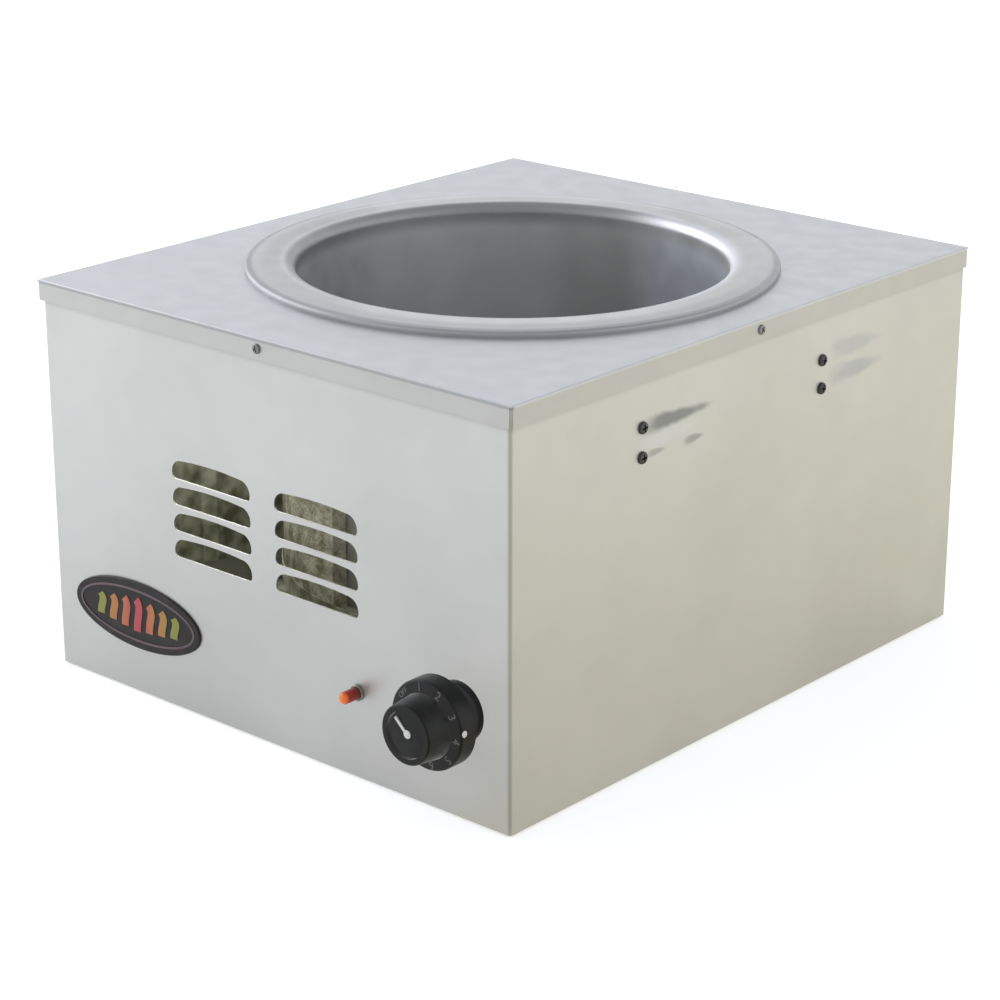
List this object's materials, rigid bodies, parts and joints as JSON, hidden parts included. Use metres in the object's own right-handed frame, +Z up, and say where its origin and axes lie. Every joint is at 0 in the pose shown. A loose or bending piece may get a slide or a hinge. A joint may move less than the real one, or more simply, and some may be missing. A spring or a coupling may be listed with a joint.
{
  "type": "countertop food warmer",
  "caption": "Box-shaped countertop warmer with one round heated well, a dial thermostat, a pilot lamp and a vented front.",
  "frame": {"origin": "on the surface that the feet stand on, under the centre of the well", "axes": "+Z up along the well's axis, the control face looks along -Y, +X to the right of someone facing the controls"},
  "size_m": [0.3826, 0.4804, 0.2556],
  "materials": {
    "case_steel": "satin sheet steel",
    "deck_steel": "satin sheet steel",
    "well_steel": "satin drawn steel",
    "inner_steel": "galvanised",
    "screw_steel": "plated",
    "aluminium": "cast",
    "copper": "drawn",
    "black_plastic": "moulded",
    "block_plastic": "moulded",
    "white_plastic": "painted",
    "red_lens": "clear red",
    "lamp_ring": "plated",
    "plate_black": "gloss",
    "rubber": "matte",
    "fibre": "felted",
    "wire_sheath": "extruded"
  },
  "bodies": {
    "housing": {"deck": "deck_steel", "well": "well_steel", "rim_seal": "rubber", "shell": "case_steel", "back_panel": "case_steel", "base_pan": "inner_steel", "foot_front_left": "rubber", "foot_front_right": "rubber", "foot_rear_left": "rubber", "foot_rear_right": "rubber", "foot_screws": "screw_steel", "foot_nuts": "screw_steel", "name_plate": "plate_black", "pilot_ring": "lamp_ring", "pilot_lens": "red_lens", "pilot_barrel": "black_plastic", "pilot_nut": "screw_steel", "control_body": "block_plastic", "control_bezel": "black_plastic", "control_screws": "screw_steel", "capillary_tube": "copper", "sensing_bulb": "copper", "bulb_clips": "inner_steel", "heater_plate": "aluminium", "heater_pad": "fibre", "clamp_plate": "inner_steel", "heater_studs": "screw_steel", "heater_nuts": "screw_steel", "limit_thermostat": "block_plastic", "blanket": "fibre", "blanket_straps": "inner_steel", "shield_left": "inner_steel", "shield_right": "inner_steel", "side_screws": "screw_steel", "skirt_screws": "screw_steel", "panel_screws": "screw_steel", "pan_rivets": "aluminium", "terminal_block": "block_plastic", "terminal_screws": "screw_steel", "earth_stud": "screw_steel", "entry_bushing": "black_plastic", "lead_supply": "wire_sheath", "lead_heater": "wire_sheath", "lead_limit": "wire_sheath"},
    "knob": {"knob": "black_plastic", "knob_pointer": "white_plastic", "control_shaft": "screw_steel"}
  },
  "joints": [
    {"name": "knob_turn", "type": "hinge", "parent": "housing", "child": "knob", "pos_m": [0.15075, -0.2321, 0.066], "axis": [0, -1, 0], "range_deg": [-47, 241]}
  ]
}
